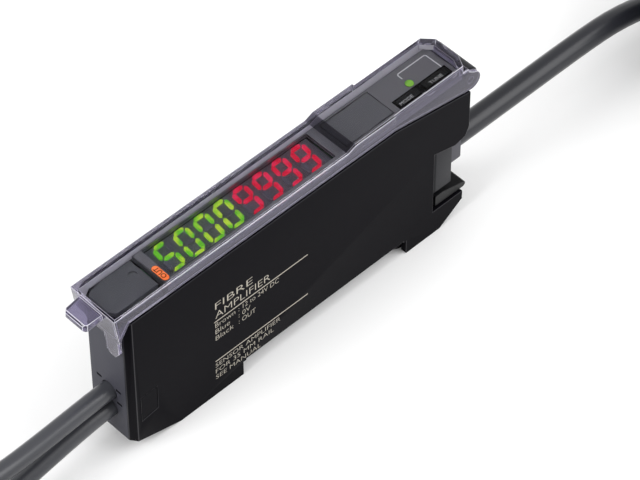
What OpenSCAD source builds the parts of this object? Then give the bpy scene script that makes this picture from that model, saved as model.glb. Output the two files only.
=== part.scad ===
// Slim fibre optic sensor amplifier for a 35 mm rail, with its power lead and two fibre leads.
// Lengths in millimetres. Inside the modules x runs from the front face, z from the feet.

/* [Case] */
// Overall width of the case
case_w = 10; // [9:0.1:12]
// Height of the case sides, up to the skirt of the cover
side_h = 30.7; // [28:0.1:34]
// Thickness of the side walls
side_wall = 1.2; // [0.9:0.05:1.5]
// Thickness of the front wall
front_wall = 1.4; // [1:0.1:2]
// Chamfer on the upright front edges
front_chamfer = 1; // [0.6:0.05:1.2]
// Height of the lower front edge above the feet
front_rise = 2.9; // [2:0.1:4]
// Length of the slope under the front
front_run = 9.6; // [7:0.1:12]

/* [Rail channel] */
// Width of the channel for the rail
rail_w = 35.4; // [35.2:0.1:36.5]
// Depth of the channel
rail_depth = 3; // [2.6:0.1:3.4]
// Distance from the front face to the channel
rail_start = 22.8; // [21:0.1:25]
// Length of the rear foot
rear_foot_l = 12.6; // [12:0.1:14]
// Height of the rear foot
rear_foot_h = 5.25; // [5:0.05:5.8]
// Travel of the rail lock
lock_travel = 2; // [1.5:0.1:2.2]
// Reach of the lock's nose under the rail
nose_l = 2.6; // [2:0.1:3]

/* [Cover] */
// Height of the main cover plate above the case sides
cover_rise = 2.7; // [2.5:0.05:3.2]
// Rise of the hood above the main plate
hood_rise = 0.7; // [0.4:0.05:1]
// Thickness of the cover's plate and skirts
cover_t = 0.75; // [0.6:0.05:0.85]
// Length of the thumb tab in front of the cover
tab_l = 3.4; // [3:0.1:4.5]
// Width of the thumb tab
tab_w = 5.1; // [4:0.1:5.4]
// Radius of the hinge ears
ear_r = 1.8; // [1.5:0.05:1.9]
// Radius of the hinge pins
hinge_pin_r = 0.6; // [0.5:0.05:0.8]
// Running clearance of the hinge pins
pin_clearance = 0.05; // [0.03:0.01:0.08]
// Clearance between the cover and the case
cover_gap = 0.25; // [0.15:0.05:0.3]

/* [Display] */
// Spacing of the digits
digit_pitch = 4; // [3.8:0.05:4.1]
// Width of a digit
digit_w = 3; // [2.6:0.1:3.1]
// Height of a digit
digit_h = 5.8; // [5:0.1:6]
// Width of a segment
segment_w = 0.66; // [0.5:0.02:0.74]
// Slope of the italic digits
digit_slant = 0.1; // [0:0.01:0.15]
// Distance from the front face to the first digit
digit_start = 11.6; // [11.5:0.1:12]

/* [Operation panel] */
// Height of the operation panel's face above the case sides
panel_rise = 1.3; // [1.1:0.05:1.5]
// Thickness of the operation panel
panel_t = 1; // [0.8:0.05:1.1]
// Length of the mode key
mode_l = 4.4; // [3.5:0.1:4.8]
// Length of the tune key
tune_l = 5.2; // [4:0.1:5.6]
// Width of the mode and tune keys
key_w = 1.4; // [1:0.1:1.6]
// Travel of the mode and tune keys
key_travel = 0.3; // [0.2:0.05:0.35]
// Clearance round the keys
key_gap = 0.15; // [0.1:0.01:0.2]

/* [Fibres] */
// Diameter of a fibre lead
fibre_d = 3.1; // [2.8:0.1:3.2]
// Height of the lower fibre
fibre_low_z = 7.8; // [7.6:0.1:8]
// Height of the upper fibre
fibre_high_z = 11.8; // [11.7:0.1:12.3]
// Radial clearance of the fibre holes
fibre_clearance = 0.1; // [0.05:0.01:0.15]
// Length of the lock lever
lever_l = 9; // [8:0.1:9.2]
// Thickness of the lock lever
lever_t = 0.8; // [0.6:0.05:0.9]

/* [Power lead] */
// Diameter of the power lead
cable_d = 4; // [3.5:0.1:4.3]
// Height of the power lead where it leaves the case
cable_z = 12.3; // [12:0.1:12.8]
// Length of the cable bush outside the rear face
bush_out = 1.65; // [1.2:0.05:3]

/* [Hidden] */
$fn = 48;
eps = 0.05;

// Main lengths along x
half_w = case_w / 2;
rail_end = rail_start + rail_w;
rear_foot_end = rail_end + rear_foot_l;
case_l = rear_foot_end + 0.9;
inner_y = half_w - side_wall;
neck_y = inner_y;
slot_x = rail_end + 5.85;
slot_w = 0.75;
block_x = slot_x + slot_w;
block_end = case_l - 3.05;
block_z = rear_foot_h + 2.95;
bush_y = 2.5;
bush_h = 4.8;
bush_end = case_l + bush_out;
overhang_z = cable_z + bush_h / 2 + 2.9;
slot_top = overhang_z + 1.3;
foot_flat_l = rear_foot_l - 5;
foot_slope_h = 3.4;

// Hinge of the cover
hinge_x = case_l + 0.4;
hinge_z = side_h - 1;
lug_r = ear_r + 0.2;
lug_y = neck_y;
skirt_bend_x = case_l - 16.3;
skirt_low_z = hinge_z - ear_r + 0.1;
front_tip_z = side_h - 3.1;
front_tip_x = -1.3;
skirt_front_x = 0.9;

// Levels under the cover
cover_top = side_h + cover_rise;
skirt_z = side_h + cover_gap;
cover_in_y = neck_y + cover_gap;
cover_y = cover_in_y + cover_t;
hood_top = cover_top + hood_rise;
hood_x = case_l - 24.7;
ramp_l = 1.7;
hood_narrow_x = case_l - 16.3;
hood_narrow = 0.4;
hood_end = case_l - 0.3;
cover_front = -2.1;
tab_y = 0.55;
latch_low_z = front_tip_z - 4.7;

// Rows of the operation panel
panel_top = side_h + panel_rise;
neck_top = panel_top - panel_t;
panel_start = lever_l;
panel_end = case_l - 1.3;
panel_y = neck_y - 0.05;
roof_z = neck_top - 1.4;
window_y0 = -2.85;
window_y1 = 3.55;
window_start = digit_start - 0.9;
window_end = digit_start + 8 * digit_pitch + 0.9;
digit_y0 = 0.35 - digit_h / 2;
digit_z = neck_top;
digit_t = 0.3;
tune_end = panel_end - 1;
tune_start = tune_end - tune_l;
mode_end = tune_start - 1.2;
mode_start = mode_end - mode_l;
key_y1 = -1.2;
key_y0 = key_y1 - key_w;
rocker_start = window_end + 2.6;
rocker_end = mode_start - 1.6;
rocker_x = (rocker_start + rocker_end) / 2;
rocker_y0 = -2.6;
rocker_y1 = 3.2;
rocker_z = neck_top - 0.6;
lamp_x = tune_start - 1.1;
lamp_y = 0.05;
lamp_r = 0.75;
pill_x = 9.85;
pill_y0 = -3.3;
pill_y1 = 0.1;
pill_r = 0.62;

// Boards
board_t = 0.8;
panel_board_z = neck_top - 3.4;
panel_board_start = lever_l + 0.2;
panel_board_y = inner_y - 0.35;
switch_h = 1.6;
floor_z = rail_depth + 1.4;
main_board_y0 = 2.2;
main_board_y1 = 3;
main_board_start = 13.4;
main_board_end = rail_end + 3;
main_board_low = floor_z + 4.6;
main_board_top = panel_board_z - 0.8;
main_board_mid = (main_board_low + main_board_top) / 2;
main_board_l = main_board_end - main_board_start;
holder_end = 12.85;
gate_x = 3.6;
gate_t = 1.6;
gate_drop = 0.15;
cavity_end = slot_x - 0.45;
bay_end = rail_end - 1.7;

// Fibre lock lever
lever_top = panel_top - 0.5;
lever_front = -0.4;
lever_y0 = -2.6;
lever_y1 = neck_y - 0.1;
lever_axis_x = lever_l - 1.4;
lever_axis_z = lever_top - lever_t - 1.1;
lever_pin_r = 0.5;
barrel_r = 0.95;

// Rail lock
lock_y = inner_y - 0.2;
leg_x = rail_end + 0.2;
leg_l = 1.6;
leg_top = 7.4;
bar_z = rear_foot_h + 0.45;
tongue_end = case_l + 0.1;
tongue_y = half_w - 0.4;
tongue_h = 2.2;
pocket_end = leg_x + leg_l + lock_travel + 0.3;
spring_end = slot_x + 0.35;
spring_z = 3.2;
spring_r = 1.1;
spring_wire_r = 0.2;

// The model's x origin is midway between the tab's tip and the hinge lug
tab_tip = cover_front - tab_l + 0.1;
mid_x = (tab_tip + hinge_x + lug_r) / 2;

// Leads: routes in the model's own frame, and the bundles of the lengths put away
cable_r = cable_d / 2;
fibre_r = fibre_d / 2;
cable_route = [
    [39, 0, 12.3], [47, 0, 12.3], [55, 0, 12.3], [63, 0, 12.3], [70, 0, 12.2], [76, 0.1, 11.6],
    [82, 0.3, 10], [88, 0.6, 7.4], [94, 0.85, 4.9], [100, 1, 3.2], [105, 1, 2.6], [110, 1, 2.5]
];
cable_tail = [
    [108, 1, 23.2], [114, -0.4, 25.4], [120, -4, 26.5], [125, -7, 26.5], [130, -10, 26.5], [133, -11, 26.5],
    [137, -11, 26.5]
];
fibre_upper_route = [
    [-21.5, 0, 11.8], [-28, 0, 11.8], [-36, 0, 11.75], [-42, 0, 11.35], [-48, 0, 10.9], [-54, 0, 10.7],
    [-60, 0, 11.1], [-66, 0, 12.3], [-72, 0, 13.7], [-78, 0, 14.5], [-84, 0, 14.5]
];
fibre_lower_route = [
    [-21.5, 0, 7.8], [-28, 0, 7.8], [-36, 0, 7.7], [-42, 0, 7], [-48, 0, 6], [-54, 0, 4.9],
    [-60, 0, 3.8], [-66, 0, 2.9], [-72, 0, 2.3], [-78, 0, 2.05], [-84, 0, 2.05]
];
fibre_upper_tail = [
    [-112, -30.2, 24.6], [-107, -29.2, 26.2], [-102, -28.2, 27.2], [-98, -27.9, 27.4], [-94, -27.9, 27.4]
];
fibre_lower_tail = [
    [-84, -31.2, 11.35], [-79, -31.2, 10.8], [-73, -31.2, 9], [-67, -31.2, 6.4], [-61, -31.2, 4],
    [-56, -31.2, 2.5], [-52, -31.2, 2.05], [-48, -31.2, 2.05]
];
wire_ends = [[150, -15], [151, -11], [149, -7]];
wire_r = 0.6;
wire_strip = 5;
tie_t = 0.5;
tie_w = 2.5;
cable_hank_x = 84;
cable_hank_l = 72;
cable_hank_w = 36;
cable_hank_y = -15;
cable_layers = 6;
cable_tie_x = 104;
fibre_hank_x = -70;
fibre_hank_l = 77.3;
fibre_hank_w = 34.3;
fibre_hank_y = -15.6;
fibre_layers = 4;
fibre_tie_x = -124;
head_l = 14;
head_r = 2;

// Helpers

// Shifts what is drawn from the front face into the model's frame
module placed() {
    translate([-mid_x, 0, 0]) children();
}

// Extrudes a side view drawn in x and z across y
module across(y0, y1) {
    translate([0, y1, 0]) rotate([90, 0, 0]) linear_extrude(y1 - y0) children();
}

// Box between two corners
module box(low, high) {
    translate(low) cube(high - low);
}

// Round bar along y
module bar_y(x, z, r, y0, y1) {
    translate([x, y1, z]) rotate([90, 0, 0]) cylinder(r = r, h = y1 - y0);
}

// Round bar along x
module bar_x(y, z, r, x0, x1) {
    translate([x0, y, z]) rotate([0, 90, 0]) cylinder(r = r, h = x1 - x0);
}

// Plate with rounded ends, seen from above
module pill(y0, y1, x, r) {
    translate([x - r, y0 + r]) square([2 * r, y1 - y0 - 2 * r]);
    translate([x, y0 + r]) circle(r);
    translate([x, y1 - r]) circle(r);
}

function unit(v) = v / norm(v);
function heading(p, i) = unit(p[min(i + 1, len(p) - 1)] - p[max(i - 1, 0)]);
function ring(p, i, r, n) =
    let (t = heading(p, i), s = unit(cross([0, 0, 1], t)), u = cross(t, s))
    [for (k = [0 : n - 1]) p[i] + r * (cos(360 * k / n) * s + sin(360 * k / n) * u)];

// Plain tube along a route
module tube(route, r, n = 8) {
    m = len(route);
    points = [for (i = [0 : m - 1]) each ring(route, i, r, n)];
    sides = [for (i = [0 : m - 2], k = [0 : n - 1])
        [i * n + k, (i + 1) * n + k, (i + 1) * n + (k + 1) % n, i * n + (k + 1) % n]];
    start = [for (k = [0 : n - 1]) k];
    finish = [for (k = [n - 1 : -1 : 0]) (m - 1) * n + k];
    polyhedron(points, concat(sides, [start, finish]));
}

// Outline with round ends, along x from its low end
module round_ended(l, w) {
    translate([w / 2, -w / 2]) square([l - w, w]);
    translate([w / 2, 0]) circle(w / 2);
    translate([l - w / 2, 0]) circle(w / 2);
}

// Case

// Side view of the case up to the skirt, without the rear block under the overhang
module case_side() {
    polygon([
        [0, front_rise], [front_run, 0], [rail_start, 0], [rail_start, rail_depth],
        [rail_end, rail_depth], [rail_end, 0], [rail_end + foot_flat_l, 0],
        [rear_foot_end, foot_slope_h], [rear_foot_end, rear_foot_h], [slot_x, rear_foot_h],
        [slot_x, slot_top], [block_end, overhang_z], [case_l - 0.8, overhang_z + 0.6],
        [case_l, overhang_z + 2.3], [case_l, skirt_low_z - cover_gap],
        [skirt_bend_x, side_h], [skirt_front_x, side_h], [0, side_h - 1.6 * skirt_front_x]
    ]);
}

// Block behind the slot, under the overhang
module rear_block() {
    polygon([
        [slot_x - 1, block_z], [block_end, block_z], [block_end, overhang_z + eps],
        [slot_x - 1, slot_top + eps]
    ]);
}

// Face of the rear block, with its lower and slot edges set back for the bevel
module rear_skin(back) {
    polygon([
        [block_x + back, block_z + back], [block_end, block_z + back], [block_end, overhang_z - 0.1],
        [block_x + back, slot_top - 0.4]
    ]);
}

// Bevelled rear face on one side
module rear_face(side) {
    near = side > 0 ? inner_y - eps : -inner_y - 0.1;
    face = side > 0 ? inner_y : -inner_y - 0.5;
    hull() {
        across(near, near + 0.1 + eps) rear_skin(0);
        across(face, face + 0.5) rear_skin(0.45);
    }
}

// Hollow of the case, open towards the side cover
module cavity() {
    polygon([
        [front_wall, floor_z], [bay_end, floor_z], [bay_end, block_z + 0.6], [cavity_end, block_z + 0.6],
        [cavity_end, roof_z], [front_wall, roof_z]
    ]);
}

// Chamfer cut along an upright front edge, on the side given by its sign
module front_edge_cut(side) {
    c = front_chamfer;
    translate([0, side * half_w, 0]) rotate([0, 0, 45])
        translate([-c * sqrt(0.5), -c * sqrt(0.5), -1]) cube([c * sqrt(2), c * sqrt(2), side_h + 2]);
}

module neck_side() {
    polygon([
        [panel_start, roof_z], [panel_start, neck_top], [panel_end + 0.2, neck_top],
        [panel_end + 0.2, hinge_z], [case_l, hinge_z - 1], [case_l, skirt_low_z - 1],
        [skirt_bend_x, roof_z]
    ]);
}

module case_body() {
    bore_r = fibre_r + fibre_clearance;
    color("#17171a") placed() difference() {
        union() {
            difference() {
                union() {
                    across(-inner_y, half_w) case_side();
                    across(-inner_y, inner_y) rear_block();
                    rear_face(-1);
                    rear_face(1);
                    across(-neck_y, neck_y) neck_side();
                    bar_y(hinge_x, hinge_z, lug_r, -lug_y, lug_y);
                }
                across(-inner_y - 1, inner_y) cavity();
            }
            // Cheeks that hold the lever pin
            box([gate_x - 0.6, -inner_y, lever_axis_z - 1.4], [lever_l + 0.1, inner_y, side_h - 0.3]);
            // Shelf for the panel board and bosses for the main board
            box([main_board_start + 2, main_board_y1 - 0.1, panel_board_z - 0.6],
                [cavity_end + eps, inner_y + eps, panel_board_z]);
            for (x = [main_board_start + 6, main_board_end - 6])
                bar_y(x, main_board_mid, 1.3, main_board_y1, inner_y + eps);
            // Snap tab that shows in the window of the side cover
            across(-half_w + 0.06, -inner_y + eps)
                polygon([[2.1, 6.95], [5.15, 7.4], [5.15, 12.3], [2.1, 12.3]]);
            box([front_wall - eps, -inner_y, floor_z], [5.1, -inner_y + 0.8, 15]);
        }
        front_edge_cut(1);
        // Bay of the lock lever
        box([-1, -inner_y, side_h - 0.3], [panel_start, neck_y + 0.2, side_h + 5]);
        box([gate_x - 0.2, -3, lever_axis_z - 2], [lever_l + 0.1, 3, side_h + 5]);
        bar_y(lever_axis_x, lever_axis_z, lever_pin_r + 0.02, -3.7, 3.7);
        // Opening for the display and the keys
        box([panel_board_start - 0.1, -panel_board_y - 0.1, panel_board_z],
            [panel_end - 0.6, panel_board_y + 0.1, neck_top + 1]);
        // Fibre holes and the slits beside them
        for (z = [fibre_low_z, fibre_high_z])
            bar_x(0, z, bore_r, -1, front_wall + 1);
        for (p = [[2.2, fibre_high_z + 1.5], [-2.1, fibre_high_z + 1.2], [-2.2, fibre_low_z + 2.3]])
            box([-1, p[0] - 0.55, p[1] - 0.25], [0.5, p[0] + 0.55, p[1] + 0.25]);
        // Rail lock: pocket for the leg, tunnel for the spring, passage for the bar
        box([rail_end - 1, -inner_y - 1, -1], [pocket_end, inner_y, leg_top + 0.3]);
        bar_x(0, spring_z, spring_r + 0.3, pocket_end - 1, spring_end);
        box([pocket_end - 1, -inner_y - 1, rear_foot_h + 0.2], [case_l + 1, inner_y, leg_top + 0.3]);
        // Dark slots in front of the rear block
        for (side = [-1, 1])
            box([slot_x, side > 0 ? bush_y + 0.5 : -half_w, block_z + 0.5],
                [block_x, side > 0 ? half_w : -bush_y - 0.5, slot_top - 0.5]);
        // Cable outlet
        box([cavity_end - 1, -bush_y - eps, cable_z - bush_h / 2 - eps],
            [case_l + 1, bush_y + eps, cable_z + bush_h / 2 + eps]);
        // Holes for the pins of the cover
        for (side = [-1, 1])
            bar_y(hinge_x, hinge_z, hinge_pin_r + pin_clearance, side > 0 ? lug_y - 1.3 : -lug_y - 1,
                side > 0 ? lug_y + 1 : -lug_y + 1.3);
    }
}

module side_cover() {
    color("#141416") placed() difference() {
        across(-half_w, -inner_y) case_side();
        front_edge_cut(-1);
        // Window of the snap tab
        across(-half_w - 1, -inner_y + 1)
            polygon([[2, 6.8], [5.25, 7.3], [5.25, 12.4], [2, 12.4]]);
        // Bevel along the edge over the rail
        translate([rail_start + 0.6, -half_w, rail_depth]) rotate([45, 0, 0])
            translate([0, -0.25, -0.25]) cube([rail_w - 1.2, 0.5, 0.5]);
    }
}

// Operation panel and display

module operation_panel() {
    color("#47484b") placed() difference() {
        box([panel_start, -panel_y, neck_top], [panel_end, panel_y, panel_top]);
        box([window_start - 0.05, window_y0 - 0.05, neck_top - 1],
            [window_end + 0.05, window_y1 + 0.05, panel_top + 1]);
        box([rocker_start - key_gap, rocker_y0 - key_gap, neck_top - 1],
            [rocker_end + key_gap, rocker_y1 + key_gap, panel_top + 1]);
        for (k = [[mode_start, mode_end], [tune_start, tune_end]])
            box([k[0] - key_gap, key_y0 - key_gap, neck_top - 1],
                [k[1] + key_gap, key_y1 + key_gap, panel_top + 1]);
        // Sunk strip of the mode and tune keys
        box([mode_start - 0.3, key_y0 - 0.3, panel_top - 0.3],
            [tune_end + 0.3, key_y1 + 0.3, panel_top + 1]);
        translate([lamp_x, lamp_y, neck_top - 1]) cylinder(r = lamp_r + 0.03, h = panel_t + 2);
        translate([0, 0, neck_top - 1]) linear_extrude(panel_t + 2)
            pill(pill_y0 - 0.03, pill_y1 + 0.03, pill_x, pill_r + 0.03);
    }
}

module display_window() {
    color("#3c3d42") placed()
        box([window_start, window_y0, digit_z + digit_t + 0.02], [window_end, window_y1, panel_top]);
}

module display_block() {
    color("#232326") placed()
        box([window_start + 0.3, window_y0 + 0.1, panel_board_z + board_t],
            [window_end - 0.3, window_y1 - 0.1, digit_z]);
}

// Segments a to g of a digit, each as the two ends of its centre line
segment_top = digit_h - segment_w;
segment_right = digit_w - segment_w;
segment_ends = [
    [[0, segment_top], [segment_right, segment_top]],
    [[segment_right, segment_top], [segment_right, segment_top / 2]],
    [[segment_right, segment_top / 2], [segment_right, 0]],
    [[0, 0], [segment_right, 0]],
    [[0, 0], [0, segment_top / 2]],
    [[0, segment_top / 2], [0, segment_top]],
    [[0, segment_top / 2], [segment_right, segment_top / 2]]
];
shown_digits = [5, 0, 0, 0, 9, 9, 9, 9];
function is_lit(digit, s) =
    digit == 5 ? (s != 1 && s != 4) : digit == 9 ? s != 4 : s != 6;
function slanted(p) = [p[0] + digit_slant * p[1], p[1]];
function bar_outline(a, b) =
    let (e = unit(b - a), n = [-e[1], e[0]], h = segment_w / 2, g = 0.2)
    [for (p = [
        a + g * e, a + (g + h) * e + h * n, b - (g + h) * e + h * n,
        b - g * e, b - (g + h) * e - h * n, a + (g + h) * e - h * n
    ]) slanted(p)];

module segment(place, s) {
    ends = segment_ends[s];
    translate([digit_start + place * digit_pitch + segment_w / 2, digit_y0 + segment_w / 2, digit_z])
        linear_extrude(digit_t) polygon(bar_outline(ends[0], ends[1]));
}

module green_segments() {
    color("#7ede32") placed()
        for (place = [0 : 3], s = [0 : 6])
            if (is_lit(shown_digits[place], s)) segment(place, s);
}

module red_segments() {
    color("#e8193c") placed()
        for (place = [4 : 7], s = [0 : 6])
            if (is_lit(shown_digits[place], s)) segment(place, s);
}

module dark_segments() {
    color("#4a4650") placed()
        for (place = [0 : 7], s = [0 : 6])
            if (!is_lit(shown_digits[place], s)) segment(place, s);
}

module output_lamp() {
    color("#f07838") placed()
        translate([0, 0, panel_board_z + board_t])
            linear_extrude(panel_top + 0.05 - panel_board_z - board_t)
                pill(pill_y0, pill_y1, pill_x, pill_r);
}

module status_lamp() {
    color("#6fae3c") placed()
        translate([lamp_x, lamp_y, panel_board_z + board_t])
            cylinder(r = lamp_r, h = panel_top + 0.05 - panel_board_z - board_t);
}

// Keys

module up_down_key() {
    color("#56575b") placed() {
        difference() {
            box([rocker_start, rocker_y0, panel_top - 0.8], [rocker_end, rocker_y1, panel_top + 0.05]);
            // Finger hollow
            translate([rocker_x, 0, panel_top + 11.9]) rotate([90, 0, 0])
                cylinder(r = 12, h = 12, center = true, $fn = 96);
        }
        // Rib on which the key rocks
        bar_y(rocker_x, panel_top - 0.9, 0.5, rocker_y0, rocker_y1);
    }
}

module push_key(x0, x1) {
    box([x0, key_y0, panel_top - 0.9], [x1, key_y1, panel_top + 0.1]);
    box([(x0 + x1) / 2 - 0.6, key_y0 + 0.2, panel_top - 1.1],
        [(x0 + x1) / 2 + 0.6, key_y1 - 0.2, panel_top - 0.85]);
}

module mode_key() {
    color("#1c1c1f") placed() push_key(mode_start, mode_end);
}

module tune_key() {
    color("#1c1c1f") placed() push_key(tune_start, tune_end);
}

module key_switches() {
    top = panel_board_z + board_t;
    color("#2a2a2c") placed() {
        for (x = [(mode_start + mode_end) / 2, (tune_start + tune_end) / 2])
            box([x - 1.4, key_y0 - 0.4, top], [x + 1.4, key_y1 + 0.9, panel_top - 1.1 - key_travel - 0.1]);
        for (side = [-1, 1])
            box([rocker_x + side * 2.4 - 1, -1, top], [rocker_x + side * 2.4 + 1, 1.6, panel_top - 1.3]);
        box([rocker_x - 0.9, -1.4, top], [rocker_x + 0.9, 2, panel_top - 1.5]);
    }
}

// Fibre lock

module lock_lever() {
    under = lever_top - lever_t;
    color("#4b4c4f") placed() difference() {
        union() {
            difference() {
                translate([0, 0, under]) linear_extrude(lever_t) polygon([
                    [lever_front, lever_y0 + 1.2], [lever_front + 0.8, lever_y0],
                    [lever_l - 0.5, lever_y0], [lever_l - 0.5, lever_y1],
                    [lever_front + 4, lever_y1], [lever_front + 0.8, lever_y1 - 0.4],
                    [lever_front, lever_y1 - 1]
                ]);
                // Dimple over the pivot
                translate([lever_axis_x - 0.6, 1.3, lever_top - 0.3]) cylinder(r = 0.75, h = 1);
            }
            bar_y(lever_axis_x, lever_axis_z, barrel_r, lever_y0 + 0.1, 2.8);
            box([lever_axis_x - barrel_r, lever_y0 + 0.1, lever_axis_z],
                [lever_axis_x + barrel_r, 2.8, under + eps]);
        }
        bar_y(lever_axis_x, lever_axis_z, lever_pin_r + pin_clearance, -4, 4);
    }
}

module lever_pin() {
    color("#b9bbbe") placed() bar_y(lever_axis_x, lever_axis_z, lever_pin_r, -3.65, 3.65);
}

module fibre_holder() {
    bore_r = fibre_r + fibre_clearance;
    top = fibre_high_z + 3.2;
    color("#2b2b2e") placed() difference() {
        box([front_wall, -inner_y + 0.9, floor_z], [holder_end, main_board_y1 - 0.1, top]);
        for (z = [fibre_low_z, fibre_high_z])
            bar_x(0, z, bore_r, 0, holder_end + 1);
        box([gate_x - 0.1, -2.7, floor_z + 0.3], [gate_x + gate_t + 0.1, 2.7, top + 1]);
    }
}

module fibre_gate() {
    color("#8d8f93") placed() difference() {
        box([gate_x, -2.5, floor_z + 0.5], [gate_x + gate_t, 2.5, lever_top - lever_t - 0.2]);
        for (z = [fibre_low_z, fibre_high_z])
            bar_x(0, z - gate_drop, fibre_r + gate_drop + 0.05, gate_x - 1, gate_x + gate_t + 1);
    }
}

module optical_element(z, l) {
    difference() {
        box([holder_end, -2, z - 1.9], [holder_end + l, main_board_y0, z + 1.9]);
        bar_x(0, z, 0.6, holder_end - 1, holder_end + 0.8);
    }
}

module light_emitter() {
    color("#5a2a2a") placed() optical_element(fibre_low_z, 2.6);
}

module light_receiver() {
    color("#23304a") placed() optical_element(fibre_high_z, 3);
}

// Protective cover

module cover_side() {
    polygon([
        [cover_front, cover_top], [front_tip_x, front_tip_z], [skirt_front_x, skirt_z + 0.2],
        [skirt_front_x, skirt_z], [skirt_bend_x, skirt_z], [hinge_x - 0.6, skirt_low_z],
        [hinge_x, hinge_z], [hinge_x + 0.5, hinge_z + ear_r - 0.08],
        [hood_end, hinge_z + ear_r + 0.7], [hood_end, hood_top], [hood_x, hood_top],
        [hood_x - ramp_l, cover_top]
    ]);
    translate([hinge_x, hinge_z]) circle(ear_r);
}

module cover_hollow() {
    t = cover_t;
    polygon([
        [front_tip_x + t, front_tip_z - 2], [cover_front + t, cover_top - t],
        [hood_x - ramp_l + 0.3, cover_top - t], [hood_x + 0.3, hood_top - t], [hood_end - t, hood_top - t],
        [hood_end - t, hinge_z + ear_r + 0.4], [hinge_x + ear_r + 1, hinge_z + ear_r + 0.4],
        [hinge_x + ear_r + 1, front_tip_z - 2]
    ]);
}

// Corner at the end of the hood, on the side given by its sign: what lies beyond its slanting cut
function corner_legs(side) = side > 0 ? [2.05, 2.2] : [1.3, 2.5];
module hood_corner(side, inset) {
    a = [hood_end - corner_legs(side)[0], side * cover_y];
    b = [hood_end, side * (cover_y - corner_legs(side)[1])];
    e = unit(b - a);
    n = side * inset * [e[1], -e[0]];
    polygon([a + n - 20 * e, b + n + 20 * e, [hood_end + 30, side * (cover_y + 30)]]);
}

module thumb_tab() {
    intersection() {
        across(tab_y - tab_w, tab_y + tab_w) polygon([
            [cover_front + 0.5, cover_top - 1], [cover_front + 0.1, cover_top - 0.7],
            [tab_tip + 0.3, cover_top - 0.7], [tab_tip, cover_top - 1], [tab_tip, cover_top - 1.9],
            [tab_tip + 0.3, cover_top - 2.2], [cover_front + 0.5, cover_top - 1.8]
        ]);
        translate([0, 0, cover_top - 5]) linear_extrude(6) polygon([
            [cover_front + 0.5, tab_y - tab_w / 2], [tab_tip + 0.6, tab_y - tab_w / 2],
            [tab_tip, tab_y - tab_w / 2 + 0.5], [tab_tip, tab_y + tab_w / 2 - 0.9],
            [tab_tip + 0.6, tab_y + tab_w / 2 - 0.4], [cover_front + 0.5, tab_y + tab_w / 2]
        ]);
    }
}

// Latch tongue on the near half of the front
module latch_tongue() {
    intersection() {
        across(-4.2, -1.4) polygon([
            [front_tip_x - 0.06, front_tip_z + 0.6], [front_tip_x + cover_t, front_tip_z + 0.6],
            [-0.35, latch_low_z + 0.5], [-0.6, latch_low_z], [-1, latch_low_z + 0.3]
        ]);
        translate([-3, 0, 0]) rotate([90, 0, 90]) linear_extrude(4) polygon([
            [-4.2, front_tip_z + 1], [-4.2, latch_low_z + 1.7], [-3.1, latch_low_z - eps],
            [-2.5, latch_low_z - eps], [-1.4, latch_low_z + 0.9], [-1.4, front_tip_z + 1]
        ]);
    }
}

module protective_cover() {
    color("#8d8a99", 0.45) placed() difference() {
        union() {
            difference() {
                across(-cover_y, cover_y) cover_side();
                difference() {
                    across(-cover_in_y, cover_in_y) cover_hollow();
                    for (side = [-1, 1])
                        translate([0, 0, panel_top + 0.2]) linear_extrude(6) hood_corner(side, cover_t);
                }
                across(-cover_in_y, cover_in_y) translate([hinge_x, hinge_z]) circle(lug_r + 0.35);
            }
            for (side = [-1, 1])
                bar_y(hinge_x, hinge_z, hinge_pin_r, side > 0 ? lug_y - 1.2 : -cover_in_y - eps,
                    side > 0 ? cover_in_y + eps : -lug_y + 1.2);
            thumb_tab();
            latch_tongue();
        }
        // Sides of the hood lean in towards the top
        for (side = [-1, 1])
            translate([hood_narrow_x, 0, 0]) rotate([90, 0, 90]) linear_extrude(30) polygon([
                [side * (cover_y - hood_narrow), hood_top + eps], [side * cover_y, skirt_z + 0.6],
                [side * (cover_y + 1), skirt_z + 0.6], [side * (cover_y + 1), hood_top + eps]
            ]);
        // Corners at the end of the hood
        for (side = [-1, 1])
            translate([0, 0, panel_top + 0.7]) linear_extrude(6) hood_corner(side, 0);
    }
}

// Boards and the parts on them

module panel_board() {
    color("#1f5a3a") placed()
        box([panel_board_start, -panel_board_y, panel_board_z],
            [panel_end - 0.8, panel_board_y, panel_board_z + board_t]);
}

module main_board() {
    color("#1f5a3a") placed() difference() {
        box([main_board_start, main_board_y0, main_board_low],
            [main_board_end, main_board_y1, main_board_top]);
        box([bay_end - 0.2, main_board_y0 - 1, 0], [main_board_end + 1, main_board_y1 + 1, block_z + 0.8]);
    }
}

module board_header() {
    color("#161618") placed()
        box([main_board_start + 0.35 * main_board_l, main_board_y0 - 1.2, main_board_top - 3],
            [main_board_start + 0.6 * main_board_l, main_board_y0, panel_board_z]);
}

module board_chips() {
    color("#1a1a1c") placed() {
        for (chip = [[0.3, 7, 1], [0.5, 5, 1.2], [0.7, 4, 1.5]])
            translate([main_board_start + chip[0] * main_board_l, main_board_y0 - chip[2],
                main_board_mid - chip[1] / 2]) cube([chip[1], chip[2], chip[1]]);
    }
}

// Cable outlet

module cable_bush() {
    color("#2e2e31") placed() {
        difference() {
            union() {
                box([cavity_end - 1.2, -bush_y, cable_z - bush_h / 2],
                    [bush_end, bush_y, cable_z + bush_h / 2]);
                box([cavity_end - 1.2, -bush_y - 0.6, cable_z - bush_h / 2 - 0.6],
                    [cavity_end, bush_y + 0.6, cable_z + bush_h / 2 + 0.6]);
            }
            // Rounded upright edges at the outlet
            for (side = [-1, 1])
                translate([bush_end, side * bush_y, cable_z - bush_h]) rotate([0, 0, 45])
                    translate([-0.5, -0.5, 0]) cube([1, 1, 2 * bush_h]);
        }
    }
}

module inner_leads() {
    color("#5a4436") placed()
        for (dz = [-1.4, 0, 1.4])
            bar_x(main_board_y0 - 0.5, cable_z + dz, 0.5, main_board_end - 2.5, cavity_end - 1.2);
}

// Rail lock

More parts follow.
